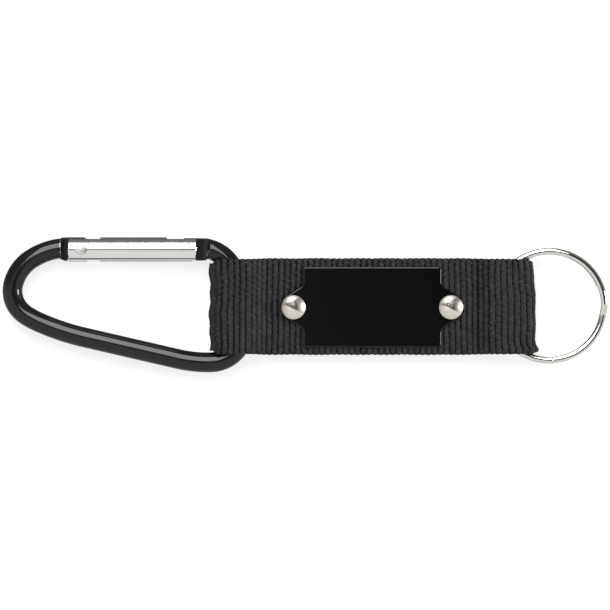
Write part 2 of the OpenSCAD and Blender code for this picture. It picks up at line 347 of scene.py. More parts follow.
class Recipe(Nodes):
    """A piece's material being put together."""

    def __init__(self, name):
        self.material = bpy.data.materials.new(name)
        self.material.use_nodes = True
        super().__init__(self.material.node_tree)
        self.shader = self.node("ShaderNodeBsdfPrincipled")
        output = self.node("ShaderNodeOutputMaterial")
        self.link(self.shader, "BSDF", output, "Surface")
        self.place = self.node("ShaderNodeTexCoord")

    def values(self, **sockets):
        """Sets the shader's own sockets; an underscore in a name stands for a space."""
        for key, value in sockets.items():
            socket = self.shader.inputs[key.replace("_", " ")]
            socket.default_value = (*value, 1) if socket.type == "RGBA" else value

    def noise(self, scale, detail=3, roughness=0.5, stretch=(1, 1, 1)):
        """Noise that keeps its place on the piece; its scale is in cycles per metre."""
        mapping = self.node("ShaderNodeMapping")
        mapping.inputs["Scale"].default_value = stretch
        self.link(self.place, "Object", mapping, "Vector")
        made = self.node("ShaderNodeTexNoise")
        made.inputs["Scale"].default_value = scale
        made.inputs["Detail"].default_value = detail
        made.inputs["Roughness"].default_value = roughness
        self.link(mapping, "Vector", made, "Vector")
        return made

    def blend(self, factor, output, first, second):
        """Mixes two colours by a number; the first may be a node's."""
        made = self.node("ShaderNodeMix", data_type="RGBA")
        if isinstance(first, bpy.types.Node):
            self.link(first, 2, made, 6)
        else:
            made.inputs[6].default_value = (*first, 1)
        made.inputs[7].default_value = (*second, 1)
        self.link(factor, output, made, 0)
        return made

    def bump(self, source, output, distance, strength=1.0, under=None, coat=False):
        """Fine relief from a number, on top of another bump if one is given."""
        made = self.node("ShaderNodeBump")
        made.inputs["Strength"].default_value = strength
        made.inputs["Distance"].default_value = distance
        self.link(source, output, made, "Height")
        if under:
            self.link(under, "Normal", made, "Normal")
        self.link(made, "Normal", self.shader, "Normal")
        if coat:
            self.link(made, "Normal", self.shader, "Coat Normal")
        return made

    def colour(self, mixed):
        """Feeds mixed colours to the shader's base colour."""
        self.link(mixed, 2, self.shader, "Base Color")

    def rough(self, source, low, high, least, most):
        """Spreads a noise over a range of roughness and feeds it to the shader."""
        made = self.spread(source, "Fac", low, high, least, most)
        self.link(made, "Result", self.shader, "Roughness")

    def stored(self, name):
        """A number that set_values has stored on the piece."""
        return self.node("ShaderNodeAttribute", attribute_name=name)


def scaled(colour, amount):
    """A lighter or darker version of a colour."""
    return tuple(min(1, c * amount) for c in colour)


def warmed(colour):
    """The same metal with a creamier cast."""
    cream = (1.0, 0.975, 0.92)
    return tuple(part * tint for part, tint in zip(colour, cream))


def gloss_lacquer(name, colour, bare):
    """Baked black lacquer with a faint ripple, rubbed off to bare metal on edges marked as worn."""
    mix = Recipe(name)
    mix.values(Roughness=0.35, Specular_IOR_Level=0.06)
    mix.values(Coat_Weight=1.0, Coat_Roughness=0.04, Coat_IOR=1.42)
    patches = mix.noise(1600, detail=6, roughness=0.65)
    wear_and_painted_reflection = mix.stored("wear")
    both = mix.node("ShaderNodeMath", operation="ADD")
    mix.link(wear_and_painted_reflection, "Fac", both, 0)
    mix.link(patches, "Fac", both, 1)
    edge = mix.spread(both, "Value", 1.28, 1.36)
    cloud = mix.noise(90, detail=4)
    tone = mix.blend(cloud, "Fac", scaled(colour, 0.8), scaled(colour, 1.35))
    mix.colour(mix.blend(edge, "Result", tone, bare))
    mix.link(edge, "Result", mix.shader, "Metallic")
    ripple = mix.noise(420, detail=2)
    mix.bump(ripple, "Fac", 0.012 * MM, 0.5, coat=True)
    return mix.material


def satin_aluminium(name, colour):
    """Drawn aluminium with fine lengthwise lines, small nicks and a soft sheen."""
    mix = Recipe(name)
    mix.values(Metallic=1.0)
    lines = mix.noise(1500, detail=5, roughness=0.7, stretch=(0.02, 1, 1))
    cloud = mix.noise(160, detail=3)
    tone = mix.blend(lines, "Fac", scaled(colour, 0.93), scaled(colour, 1.04))
    mix.colour(tone)
    mix.rough(cloud, 0.3, 0.7, 0.09, 0.13)
    drawn = mix.bump(lines, "Fac", 0.0005 * MM, 0.4)
    nicks = mix.spread(mix.noise(500, detail=2), "Fac", 0.74, 0.78)
    mix.bump(nicks, "Result", -0.006 * MM, 0.4, under=drawn)
    return mix.material


def turned_steel(name, colour, roughness):
    """Plain steel with a fine mottle."""
    mix = Recipe(name)
    mix.values(Metallic=1.0)
    mottle = mix.noise(1100, detail=4)
    tone = mix.blend(mottle, "Fac", scaled(colour, 0.85), scaled(colour, 1.1))
    mix.colour(tone)
    mix.rough(mottle, 0.3, 0.7, roughness, roughness * 1.5)
    mix.bump(mottle, "Fac", 0.005 * MM, 0.5)
    return mix.material


def bright_nickel(name, colour, roughness):
    """Nickel plate with a warm cast, hairline scratches and a little haze."""
    mix = Recipe(name)
    mix.values(Metallic=1.0)
    haze = mix.noise(240, detail=4)
    tone = mix.blend(haze, "Fac", scaled(colour, 0.95), scaled(colour, 1.05))
    mix.colour(tone)
    mix.rough(haze, 0.35, 0.65, roughness * 0.7, roughness * 1.5)
    hairlines = mix.noise(2600, detail=2, stretch=(0.12, 1, 0.5))
    mix.bump(hairlines, "Fac", 0.002 * MM, 0.4)
    return mix.material


def nickel_with_painted_reflection(name, colour, painted_reflection_colour, roughness):
    """Nickel on a cap's dome, with a mottled dark wedge that is a painted reflection of the dark space
    overhead, laid on as a dark tone.

    Each edge of the wedge is a direction across the cap's box, with the range where it sets in."""
    mix = Recipe(name)
    mix.values(Metallic=1.0)
    speckle = mix.noise(2800, detail=4, roughness=0.7)
    # Painted reflection: a dark wedge across the dome, mottled by the speckle, stands for the dark space
    # mirrored overhead.
    painted_reflection_mask = mix.spread(speckle, "Fac", 0.38, 0.52, 0.66, 1.0)
    painted_reflection_edges = [
        ((0.47, 1, 0), 0.63, 0.71),
        ((0.44, -1, 0), -0.64, -0.52),
        ((-1, 0, 0), -0.96, -0.62),
    ]
    for direction, low, high in painted_reflection_edges:
        line = mix.node("ShaderNodeVectorMath", operation="DOT_PRODUCT")
        line.inputs[1].default_value = direction
        mix.link(mix.place, "Generated", line, 0)
        painted_reflection_mask = mix.product(painted_reflection_mask, mix.spread(line, "Value", low, high))
    tone = mix.blend(painted_reflection_mask, 0, colour, painted_reflection_colour)
    mix.colour(tone)
    mix.rough(speckle, 0.35, 0.65, roughness * 0.85, roughness * 1.2)
    hairlines = mix.noise(2600, detail=2, stretch=(0.12, 1, 0.5))
    mix.bump(hairlines, "Fac", 0.002 * MM, 0.4)
    return mix.material


def black_enamel(name, colour):
    """Smooth gloss enamel on a stamped plate, with a few specks of dust in it."""
    mix = Recipe(name)
    mix.values(Roughness=0.3, Specular_IOR_Level=0.0, Coat_Weight=1.0, Coat_Roughness=0.02)
    cloud = mix.noise(60, detail=3)
    tone = mix.blend(cloud, "Fac", scaled(colour, 0.85), scaled(colour, 1.2))
    mix.colour(tone)
    flow = mix.noise(150, detail=1)
    smooth = mix.bump(flow, "Fac", 0.01 * MM, 0.3, coat=True)
    specks = mix.spread(mix.noise(700, detail=0), "Fac", 0.8, 0.84)
    mix.bump(specks, "Result", 0.01 * MM, 0.5, under=smooth)
    return mix.material


def ribbed_webbing(name, colour):
    """Black polyester webbing: bundles of filaments over crosswise cords, with painted shade in the
    grooves, painted light on the rib tops and painted glints.
    """
    mix = Recipe(name)
    mix.values(Roughness=0.55, Specular_IOR_Level=0.22, Sheen_Weight=0.03, Sheen_Roughness=0.4)
    height = mix.stored("relief")
    shade = mix.stored("bundle_tone")
    # Painted shade and light: the stored relief darkens the grooves to 6 % of the yarn's colour and
    # lightens the rib tops to 135 %.
    painted_groove_shade_and_ridge_light = mix.spread(height, "Fac", 0.3, 0.9)
    tone = mix.blend(painted_groove_shade_and_ridge_light, "Result", scaled(colour, 0.06), scaled(colour, 1.35))
    bundle = mix.node("ShaderNodeMix", data_type="RGBA", blend_type="MULTIPLY")
    bundle.inputs[0].default_value = 1.0
    mix.link(tone, 2, bundle, 6)
    cast = mix.node("ShaderNodeValToRGB")
    cast.color_ramp.elements[0].color = (0.66, 0.64, 0.72, 1)
    cast.color_ramp.elements[1].color = (1.3, 1.28, 1.22, 1)
    mix.link(shade, "Fac", cast, "Fac")
    mix.link(cast, "Color", bundle, 7)
    strands = mix.node("ShaderNodeCombineXYZ")
    mix.link(mix.stored("along"), "Fac", strands, "X")
    mix.link(mix.stored("across"), "Fac", strands, "Y")
    twist = mix.node("ShaderNodeMapping")
    twist.inputs["Scale"].default_value = (0.35, 1, 1)
    twist.inputs["Rotation"].default_value = (0, 0, 0.3)
    mix.link(strands, "Vector", twist, "Vector")
    fibre = mix.node("ShaderNodeTexNoise")
    fibre.inputs["Scale"].default_value = 3100
    fibre.inputs["Detail"].default_value = 4
    fibre.inputs["Roughness"].default_value = 0.62
    mix.link(twist, "Vector", fibre, "Vector")
    # Painted glints: where the fibre noise peaks, the colour jumps to nine times the yarn's, standing for
    # specks of light on the filaments.
    painted_glints = mix.spread(fibre, "Fac", 0.6, 0.7)
    mix.colour(mix.blend(painted_glints, "Result", bundle, scaled(colour, 9)))
    mix.bump(fibre, "Fac", 0.09 * MM, 0.9)
    return mix.material


def pale_floor(name, colour):
    """A matt pale board with a barely visible tooth."""
    mix = Recipe(name)
    mix.values(Roughness=0.9, Specular_IOR_Level=0.1, Emission_Color=(1, 1, 1), Emission_Strength=0.74)
    tooth = mix.noise(300, detail=4)
    tone = mix.blend(tooth, "Fac", scaled(colour, 0.99), colour)
    mix.colour(tone)
    mix.bump(tooth, "Fac", 0.02 * MM, 0.2)
    return mix.material


# ---- snap hook ----

# The rod's centre line in millimetres: its start beside the hinge, its heading there, then
# [radius, angle] for each bend to the left and [0, length] for each straight stretch.
ROD_START = (-64.45, 14.6)
ROD_HEADING = 190.5
ROD_RUN = [
    (19, 21), (11, 45), (7.2, 53), (8.8, 19), (28, 8), (66, 10.5), (0, 24.7), (36, 14),
    (8.9, 99.5), (0, 11.8), (9.3, 62),
]


def rod_line():
    """Points and headings along the rod's centre line, in millimetres and radians."""
    step = 0.45
    place, heading = Vector(ROD_START), math.radians(ROD_HEADING)
    stations = [(place.copy(), heading)]
    for radius, amount in ROD_RUN:
        length = amount if radius == 0 else radius * math.radians(amount)
        count = math.ceil(length / step)
        for _ in range(count):
            turn = 0 if radius == 0 else length / count / radius
            chord = length / count if radius == 0 else 2 * radius * math.sin(turn / 2)
            heading += turn / 2
            place = place + chord * Vector((math.cos(heading), math.sin(heading)))
            heading += turn / 2
            stations.append((place.copy(), heading))
    return stations


def rod_rungs(radius, flat):
    """Rungs across the rod from one pressed end to the other, in millimetres.

    A rung is its inner point, its outer point, its half height, its squareness, and how worn it is
    all round and on its inner side. The pressed ends' points are measured from the pivot at the
    hinge, and from the pivot's level at the nose."""
    pivot = Vector((middle(PIVOT_BOX).x / MM, middle(PIVOT_BOX).y / MM))
    sharp = 24
    hinge = [
        ((1.42, -1.95), (1.42, 2.1), flat - 0.15, 5, (0.2, 0.9)),
        ((1.5, -2.05), (1.5, 2.2), flat - 0.03, sharp, (0.2, 0.95)),
        ((1.4, -2.5), (1.3, 2.5), flat, sharp, (0.2, 1)),
        ((1.08, -3.2), (0.95, 2.9), flat, sharp, (0.2, 1)),
        ((0.4, -3.24), (0.5, 3.2), flat, sharp, (0.2, 1)),
        ((-1.5, -3.22), (-1.5, 3.2), flat, sharp, (0.2, 1)),
        ((-3.3, -3.2), (-3.4, 3.2), flat, sharp, (0.2, 1)),
        ((-4.3, -3.0), (-4.6, 3.2), flat, sharp, (0.2, 0.5)),
        ((-4.95, -2.8), (-5.0, 3.15), flat, sharp, (0.3, 0.3)),
        ((-5.1, -2.76), (-5.15, 3.1), flat + 0.1, 5, (0.5, 0.5)),
        ((-5.45, -2.64), (-5.5, 2.98), radius - 0.25, 3, (0.76, 0.76)),
        ((-5.55, -2.6), (-5.62, 2.95), radius - 0.06, 2.3, (0.8, 0.8)),
        ((-5.75, -2.52), (-5.95, 2.88), radius, 2, (0.45, 0.45)),
    ]
    rungs = [(pivot + Vector(a), pivot + Vector(b), h, n, w) for a, b, h, n, w in hinge]
    for place, heading in rod_line():
        inward = Vector((-math.sin(heading), math.cos(heading))) * radius
        rungs.append((place + inward, place - inward, radius, 2, (0, 0)))
    nose = [
        ((-25.3, -2.56), (-23.85, 2.5), radius, 2, (0, 0)),
        ((-25.42, -2.6), (-24.1, 2.58), radius - 0.06, 2.3, (0.3, 0.3)),
        ((-25.5, -2.64), (-24.3, 2.65), radius - 0.25, 3, (0.3, 0.3)),
        ((-25.75, -2.76), (-24.9, 2.8), flat + 0.1, 5, (0.2, 0.2)),
        ((-25.95, -2.86), (-25.2, 2.88), flat, sharp, (0, 0.2)),
        ((-26.6, -2.9), (-26.4, 2.95), flat, sharp, (0, 0.3)),
        ((-28.3, -2.9), (-28.3, 2.98), flat, sharp, (0.3, 0.5)),
        ((-28.6, -2.7), (-28.6, 2.98), flat, sharp, (0.4, 0.65)),
        ((-29.1, -1.6), (-29.1, 2.98), flat, sharp, (0.4, 0.7)),
        ((-29.4, -1.5), (-29.4, 2.98), flat, sharp, (0.3, 0.7)),
        ((-31.2, -1.5), (-31.3, 2.98), flat, sharp, (0.3, 0.7)),
        ((-32.1, -1.5), (-32.0, 2.2), flat, sharp, (0.5, 0.7)),
        ((-32.28, -1.45), (-32.3, 1.8), flat - 0.03, sharp, (0.6, 0.6)),
        ((-32.24, -1.3), (-32.24, 1.6), flat - 0.2, 5, (0.5, 0.5)),
    ]
    level = Vector((0, pivot.y))
    return rungs + [(level + Vector(a), level + Vector(b), h, n, w) for a, b, h, n, w in nose]


def rod_ring(rung, turn):
    """The points round one rung, in metres."""
    inner, outer, half_height, power, _ = rung
    centre, half = (inner + outer) / 2, (inner - outer) / 2
    c, s = squared(turn, power)
    x = centre.x + half.x * c
    y = centre.y + half.y * c
    return np.stack([x * MM, y * MM, MID_Z + half_height * MM * s], 1)


class KEYRING_OT_hook_rod(bpy.types.Operator):
    """Bends the lacquered rod and presses its two flat ends"""

    bl_idname = "keyring.hook_rod"
    bl_label = "Hook Rod"

    def execute(self, context):
        look = context.scene.keyring_hook
        pivot_hole = 1.04 * MM
        turn = full_turn(56) + 0.02
        rungs = rod_rungs(look.rod_diameter / 2 / MM, look.tongue_thickness / 2 / MM)
        rings = [rod_ring(rung, turn) for rung in rungs]
        paint = gloss_lacquer("gloss_black_lacquer", look.lacquer, look.bare_metal)
        rod = new_piece("hook_rod", *loft(rings), paint)
        wear = []
        for _, _, _, squareness, (all_round, inner_side) in rungs:
            inside = ease(squared(turn, squareness)[0], 0.78, 0.86)
            wear.append(all_round + (inner_side - all_round) * inside)
        set_values(rod, "wear", np.concatenate(wear))
        pivot = middle(PIVOT_BOX)
        through = Vector((0, 0, PIVOT_BOX[1].z - PIVOT_BOX[0].z)) / 2
        cut(rod, [bar("pivot_hole", pivot - through, pivot + through, pivot_hole)])
        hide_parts("carabiner_body")
        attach(rod, "hook")
        return {"FINISHED"}


# ---- gate ----


class KEYRING_OT_gate(bpy.types.Operator):
    """Turns the gate, saws its slots and breaks its edges"""

    bl_idname = "keyring.gate"
    bl_label = "Gate"

    def execute(self, context):
        look = context.scene.keyring_gate
        low, high = GATE_BOX
        pivot = middle(PIVOT_BOX)
        radius = (high.y - low.y) / 2
        half_slot = look.slot_width / 2
        chamfer = 0.2 * MM
        bore_end = pivot.x + 15 * MM
        hinge_slot_end = pivot.x + 4.7 * MM
        nose_slot_start, nose_wall = pivot.x + 22 * MM, pivot.y - 1.6 * MM
        nose_notch_start = pivot.x + 28.5 * MM
        seat_radius, seat_depth = 1.47 * MM, 0.45 * MM
        line = [
            (low.x, radius - chamfer * 0.6), (low.x + chamfer, radius),
            (high.x - chamfer, radius), (high.x, radius - chamfer * 0.6),
        ]
        turn = full_turn(128) + 0.01
        rings = [
            np.stack([np.full(len(turn), x), pivot.y + r * np.cos(turn), MID_Z + r * np.sin(turn)], 1)
            for x, r in line
        ]
        aluminium = satin_aluminium("satin_aluminium", look.aluminium)
        gate = new_piece("gate_bar", *loft(rings), aluminium)
        far = 1.5 * radius
        bottom, top = MID_Z - half_slot, MID_Z + half_slot
        slots_end = (high.x + MM, pivot.y + far, top)
        bore_start = (low.x - MM, pivot.y, MID_Z)
        cutters = [
            bar("bore", bore_start, (bore_end, pivot.y, MID_Z), look.bore_diameter / 2),
            block("hinge_slot", (low.x - MM, pivot.y - far, bottom), (hinge_slot_end, pivot.y + far, top)),
            block("nose_slot", (nose_slot_start, nose_wall, bottom), slots_end),
            block("nose_notch", (nose_notch_start, pivot.y - far, bottom), slots_end),
        ]
        for side in (-1, 1):
            seat = (pivot.x, pivot.y, MID_Z + side * (radius - seat_depth))
            cutters.append(bar("seat", seat, (pivot.x, pivot.y, MID_Z + side * far), seat_radius))
        cut(gate, cutters)
        edges = gate.modifiers.new("edges", "BEVEL")
        edges.width = look.edge_break
        edges.segments = 2
        edges.limit_method = "ANGLE"
        edges.angle_limit = math.radians(35)
        apply_changes(gate)
        gate.data.set_sharp_from_angle(angle=math.radians(18))
        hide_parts("gate")
        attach(gate, "gate")
        return {"FINISHED"}


class KEYRING_OT_pivot(bpy.types.Operator):
    """Sets the pivot rivet, with its peened heads, into the gate"""

    bl_idname = "keyring.pivot"
    bl_label = "Pivot Rivet"

    def execute(self, context):
        look = context.scene.keyring_gate
        steel = turned_steel("pivot_steel", scaled(look.steel, 1.3), 0.22)
        centre = middle(PIVOT_BOX)
        half = (PIVOT_BOX[1].z - PIVOT_BOX[0].z) / 2
        seat, shank = half - 0.42 * MM, 1.0 * MM
        brim = (PIVOT_BOX[1].x - PIVOT_BOX[0].x) / 2
        head = [
            (shank, seat),
            (brim, seat + 0.02 * MM),
            (brim, half - 0.16 * MM),
            (brim * 0.96, half - 0.08 * MM),
            (brim * 0.9, half - 0.05 * MM),
            (brim * 0.6, half - 0.02 * MM),
            (brim * 0.3, half - 0.003 * MM),
            (brim * 0.05, half),
        ]
        profile = [(r, -z) for r, z in reversed(head)] + head
        rivet = new_piece("gate_pivot", *lathe(profile, centre), steel)
        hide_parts("gate_rivet")
        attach(rivet, "gate")
        return {"FINISHED"}


class KEYRING_OT_spring(bpy.types.Operator):
    """Winds the gate's spring and finishes the plunger that it pushes"""

    bl_idname = "keyring.spring"
    bl_label = "Spring and Plunger"

    def execute(self, context):
        look = context.scene.keyring_gate
        steel = turned_steel("spring_steel", look.steel, 0.2)
        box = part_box("gate_spring")
        wire = 0.22 * MM
        turns, steps, crowding = 8, 28, 0.06
        coil = (box[1].y - box[0].y) / 2 - wire
        centre = middle(box)
        start, end = box[0].x + wire, box[1].x - wire
        section = full_turn(10)
        rings = []
        for i in range(turns * steps + 1):
            angle = 2 * math.pi * i / steps
            share = i / (turns * steps)
            closed = crowding * math.sin(2 * math.pi * share)
            x = start + (end - start) * (share + closed)
            outward = np.array([0, math.cos(angle), math.sin(angle)])
            hub = np.array([x, centre.y, centre.z]) + coil * outward
            ring = [hub + wire * (math.cos(b) * outward + np.array([math.sin(b), 0, 0])) for b in section]
            rings.append(ring)
        spring = new_piece("spring_coil", *loft(rings), steel)
        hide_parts("gate_spring")
        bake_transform(spring)
        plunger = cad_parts["gate_plunger"]
        plunger.data.materials.clear()
        plunger.data.materials.append(turned_steel("plunger_steel", look.steel, 0.25))
        return {"FINISHED"}


# ---- strap ----


def side_line(fold_box, mid_radius, direction):
    """The side view of half the strap's middle surface, from the seam round the fold to the cut end."""
    foot_inset = 0.7 * MM
    seam = middle(PLATE_BOX).x
    if direction < 0:
        fold, foot = fold_box[0].x + LAYER, fold_box[1].x - foot_inset
        butt = BACK_BOX[1].x
    else:
        fold, foot = fold_box[1].x - LAYER, fold_box[0].x + foot_inset
        butt = 2 * seam - BACK_BOX[1].x
    rise = mid_radius - LAYER
    slope = 1.2 * rise
    top, bottom = MID_Z + mid_radius, MID_Z - mid_radius
    near = foot + direction * (slope + 0.9 * MM)
    points = [
        (seam, MID_Z + LAYER), (foot, MID_Z + LAYER), (near, top), (fold, top),
        (fold, bottom), (near, bottom), (foot, MID_Z - LAYER), (butt, MID_Z - LAYER),
    ]
    bend = 0.9 * rise + 0.6 * MM
    turn = mid_radius * 0.999
    radii = [0, bend, bend, turn, turn, bend, bend, 0]
    return rounded(points, radii, closed=False, steps=24)


def weave(stations, across, pitch, float_width, seed):
    """Height from 0 to 1 of the ribbed weave, a tone for each bundle, and the place across each rib.

    The ribs drift a little from straight, each bundle of yarn differs in place, tone and lift,
    and the bundles of the next rib lie half a bundle over."""
    draw = np.random.default_rng(seed)
    ribs = int(stations[-1] / pitch) + 3
    bundles = int((across[-1] - across[0]) / float_width) + 4
    slip = draw.uniform(-0.06, 0.06, (ribs, bundles))
    tones = draw.uniform(0, 1, (ribs, bundles))
    lift = draw.uniform(-0.12, 0.12, (ribs, bundles))
    s, y = np.meshgrid(stations, across, indexing="ij")
    drift = 0.05 * np.sin(y / (6.1 * MM)) + 0.04 * np.sin(y / (2.3 * MM) + s / (7 * MM))
    drift += 0.035 * np.sin(y / (0.27 * MM) + 2.4 * np.floor(s / pitch))
    phase = s / pitch + drift
    rib = np.clip(np.floor(phase).astype(int) + 1, 0, ribs - 1)
    f = phase - np.floor(phase)
    cross = (y - across[0]) / float_width + 0.5 * (rib % 2) + 1
    bundle = np.clip(np.floor(cross).astype(int), 0, bundles - 1)
    g = np.clip(cross - bundle + slip[rib, bundle], 0, 1)
    ridge = np.abs(np.sin(math.pi * f)) ** 0.55
    row = np.abs(np.sin(math.pi * g)) ** 0.4
    strands = 0.16 * np.abs(np.sin(3 * math.pi * g + 0.9 * f)) ** 0.7
    gap = (1 - ridge) * (1 - row)
    height = ridge * (0.7 + 0.26 * row + lift[rib, bundle]) + strands * ridge - 0.35 * gap
    return np.clip(height, -0.4, 0.99), tones[rib, bundle], f


def strap_half(name, box, mid_radius, direction, look, material, bulge):
    """Half of the webbing strip as one closed mesh, from the seam under the plate to the cut end.

    Its inner face has a third of the outer face's points across. Ribs open where it curls."""
    pitch, depth = look.rib_pitch, look.rib_depth
    step = pitch / 9
    tight_curl, full_scallop = 1 / (2.2 * MM), 0.26 * MM
    line, stations = evenly(side_line(box, mid_radius, direction), step)
    tangent = np.gradient(line, axis=0)
    tangent /= np.linalg.norm(tangent, axis=1, keepdims=True)
    outward = np.stack([-tangent[:, 1], tangent[:, 0]], 1) * direction
    half_thick = LAYER - 0.02 * MM
    edge = (FRONT_BOX[1].y - FRONT_BOX[0].y) / 2
    lip = 0.42 * MM
    flat = edge - lip
    across = np.arange(-flat, flat + 1e-9, 2 * flat / round(2 * flat / (look.float_width / 7)))
    height, tone, f = weave(stations, across, pitch, look.float_width, 7 if direction < 0 else 8)
    heading = np.unwrap(np.arctan2(tangent[:, 1], tangent[:, 0]))
    curl = np.abs(np.gradient(heading) / step)
    opened = np.clip(curl / tight_curl, 0, 1)[:, None]
    height = height - 0.5 * opened * np.clip(0.55 - height, 0, 1)
    outer = half_thick - depth * (1 - height)
    inner = half_thick - 0.6 * depth * (1 - height[:, ::3])
    ridge = np.abs(np.sin(math.pi * f[:, 0])) ** 0.5
    scallop = full_scallop * (1 - ridge)
    wander = 0.12 * MM * np.sin(stations / (9.5 * MM) + 0.6) + 0.05 * MM * np.sin(stations / (1.9 * MM))
    y_mid = middle(FRONT_BOX).y
    turn = np.radians(np.linspace(90, -90, 9)[1:-1])
    rings, values = [], {"relief": [], "bundle_tone": [], "along": [], "across": []}
    for i, (x, z) in enumerate(line):
        nx, nz = outward[i]
        body = half_thick - 0.35 * depth * (1 - ridge[i])
        near = y_mid + across + wander[i] * (across / flat)
        tip = lip - scallop[i]
        right_y = near[-1] + tip * np.cos(turn)
        left_y = near[0] - tip * np.cos(turn[::-1])
        side = body * np.sin(turn)
        ys = np.concatenate([near, right_y, near[::3][::-1], left_y])
        hs = np.concatenate([outer[i], side, -inner[i][::-1], side[::-1]])
        rings.append(np.stack([x + nx * hs, ys, z + nz * hs], 1))
        rim = np.full(len(turn), 0.35 + 0.55 * ridge[i])
        right_tone, left_tone = np.full(len(turn), tone[i, -1]), np.full(len(turn), tone[i, 0])
        # The relief is stored for the material, which paints shade in the grooves and light on the rib
        # tops from it.
        values["relief"].append(np.concatenate([height[i], rim, height[i, ::3][::-1], rim]))
        values["bundle_tone"].append(np.concatenate([tone[i], right_tone, tone[i, ::3][::-1], left_tone]))
        values["along"].append(np.full(len(ys), stations[i]))
        values["across"].append(ys)
    rings = np.array(rings)
    bulge(rings)
    piece = new_piece(name, *loft(rings), material)
    for key, numbers in values.items():
        set_values(piece, key, np.clip(np.concatenate(numbers), -1, 1))
    return piece, stations[-1]


def draw_in_corners(rings, near_fold, half_height, top, bottom):
    """Draws the selvedges in at the middle height of a fold, where the held metal leaves it."""
    start, full = 10 * MM, 12.4 * MM
    y, z = rings[..., 1], rings[..., 2]
    off_middle = y - middle(FRONT_BOX).y
    pull = near_fold * np.clip(1 - ((z - MID_Z) / half_height) ** 4, 0, 1)
    y += pull * (bottom * ease(-off_middle, start, full) - top * ease(off_middle, start, full))


def hook_side_bulge(rings):
    """Settles the left fold round the rod: its corners are drawn in and its edge wavers."""
    x, y = rings[..., 0], rings[..., 1]
    fold = LEFT_LOOP_BOX[0].x
    near_fold = 1 - ease(x, fold, fold + 7 * MM)
    inside_fold = 0.6 + 0.4 * ease(x, fold, fold + 1.1 * MM)
    draw_in_corners(rings, near_fold * inside_fold, 3.3 * MM, 1.45 * MM, 1.1 * MM)
    x += near_fold * MM * (0.16 * np.sin(y / (2.1 * MM)) + 0.14 * np.sin(y / (0.83 * MM) + 1) - 0.2)


def ring_side_bulge(rings):
    """Pulls the right fold round the ring, which leaves its lower corner proud."""
    x, y = rings[..., 0], rings[..., 1]
    fold = RIGHT_LOOP_BOX[1].x
    near_fold = ease(x, fold - 11 * MM, fold - 1.5 * MM)
    draw_in_corners(rings, near_fold, 1.9 * MM, 0.55 * MM, 0.45 * MM)
    lean = ease(-y, -12 * MM, -2 * MM)
    nub = np.exp(-(((y + 11.6 * MM) / (1.1 * MM)) ** 2))
    x += near_fold * MM * (-0.2 + 0.72 * lean + 0.75 * nub + 0.08 * np.sin(y / (1.1 * MM)))


class KEYRING_OT_strap(bpy.types.Operator):
    """Weaves the two halves of the folded webbing strap"""

    bl_idname = "keyring.strap"
    bl_label = "Webbing Strap"

    def execute(self, context):
        look = context.scene.keyring_strap
        webbing = ribbed_webbing("black_webbing", look.yarn)
        halves = [
            ("strap_hook_half", LEFT_LOOP_BOX, -1, hook_side_bulge, "left_loop", "left_bend", 2.5 * MM,
             ("webbing_left_loop", "webbing_front", "webbing_back_left"), "hook_rod"),
            ("strap_ring_half", RIGHT_LOOP_BOX, 1, ring_side_bulge, "right_loop", "right_bend", 2.6 * MM,
             ("webbing_right_loop", "webbing_front", "webbing_back_right"), "split_ring_wire"),
        ]
        for name, box, direction, bulge, loop, joint, reach, nodes, held_by in halves:
            mid_radius = (box[1].z - box[0].z) / 2 - LAYER
            piece, length = strap_half(name, box, mid_radius, direction, look, webbing, bulge)
            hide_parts(*nodes)
            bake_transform(piece)
        return {"FINISHED"}


# ---- plate and rivets ----


class KEYRING_OT_plate(bpy.types.Operator):
    """Stamps the blank enamelled plate with its two ears"""

    bl_idname = "keyring.plate"
    bl_label = "Plate"

    def execute(self, context):
        look = context.scene.keyring_plate
        low, high = PLATE_BOX
        centre = middle(PLATE_BOX)
        ear_radius, ear_lean, hollow = 3.45 * MM, math.radians(32), 1.7 * MM
        shoulder, foot_break, shelf = 2.55 * MM, 0.05 * MM, 0.15 * MM
        rivet_x = (high.x - low.x) / 2 - ear_radius
        ear_tip = rivet_x + ear_radius / math.sin(ear_lean)
        half_l = rivet_x - shoulder
        half_w = (high.y - low.y) / 2
        neck = (ear_tip - half_l) * math.tan(ear_lean)
        corners = [
            (half_l, half_w), (-half_l, half_w), (-half_l, neck), (-ear_tip, 0), (-half_l, -neck),
            (-half_l, -half_w), (half_l, -half_w), (half_l, -neck), (ear_tip, 0), (half_l, neck),
        ]
        corner = look.corner_radius
        radii = [corner, corner, hollow, ear_radius, hollow] * 2
        outline = np.array(rounded(corners, radii, steps=16))
        before, after = np.roll(outline, 1, axis=0), np.roll(outline, -1, axis=0)
        along = (after - before) / np.linalg.norm(after - before, axis=1, keepdims=True)
        inward = np.stack([-along[:, 1], along[:, 0]], 1)
        rim = look.edge_radius
        steps = [(foot_break, low.z), (0, low.z + foot_break), (0, high.z - rim)]
        for a in np.radians([15, 30, 45, 60, 75, 90]):
            steps.append((rim * (1 - math.cos(a)), high.z - rim * (1 - math.sin(a))))
        steps.append((rim + shelf, high.z))
        rings = []
        for inset, z in steps:
            x, y = (outline + inward * inset).T
            rings.append(np.column_stack([centre.x + x, centre.y + y, np.full(len(x), z)]))
        enamel = black_enamel("gloss_black_enamel", look.enamel)
        plate = new_piece("blank_plate", *loft(rings), enamel)
        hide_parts("name_plate")
        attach(plate, "strap")
        return {"FINISHED"}


def domed(radius, brim, height):
    """Profile of a domed head with a rolled brim, from its rim to its crown, over a flat face at 0."""
    roll = brim / 2
    profile = [(radius - roll + roll * math.cos(a), roll + roll * math.sin(a))
               for a in np.radians(np.linspace(-80, 50, 8))]
    foot, shoulder = profile[-1]
    ball = (foot ** 2 + (height - shoulder) ** 2) / (2 * (height - shoulder))
    reach = math.asin(foot / ball)
    for a in np.linspace(reach, 0.02, 14)[1:]:
        profile.append((ball * math.sin(a), height - ball * (1 - math.cos(a))))
    return profile


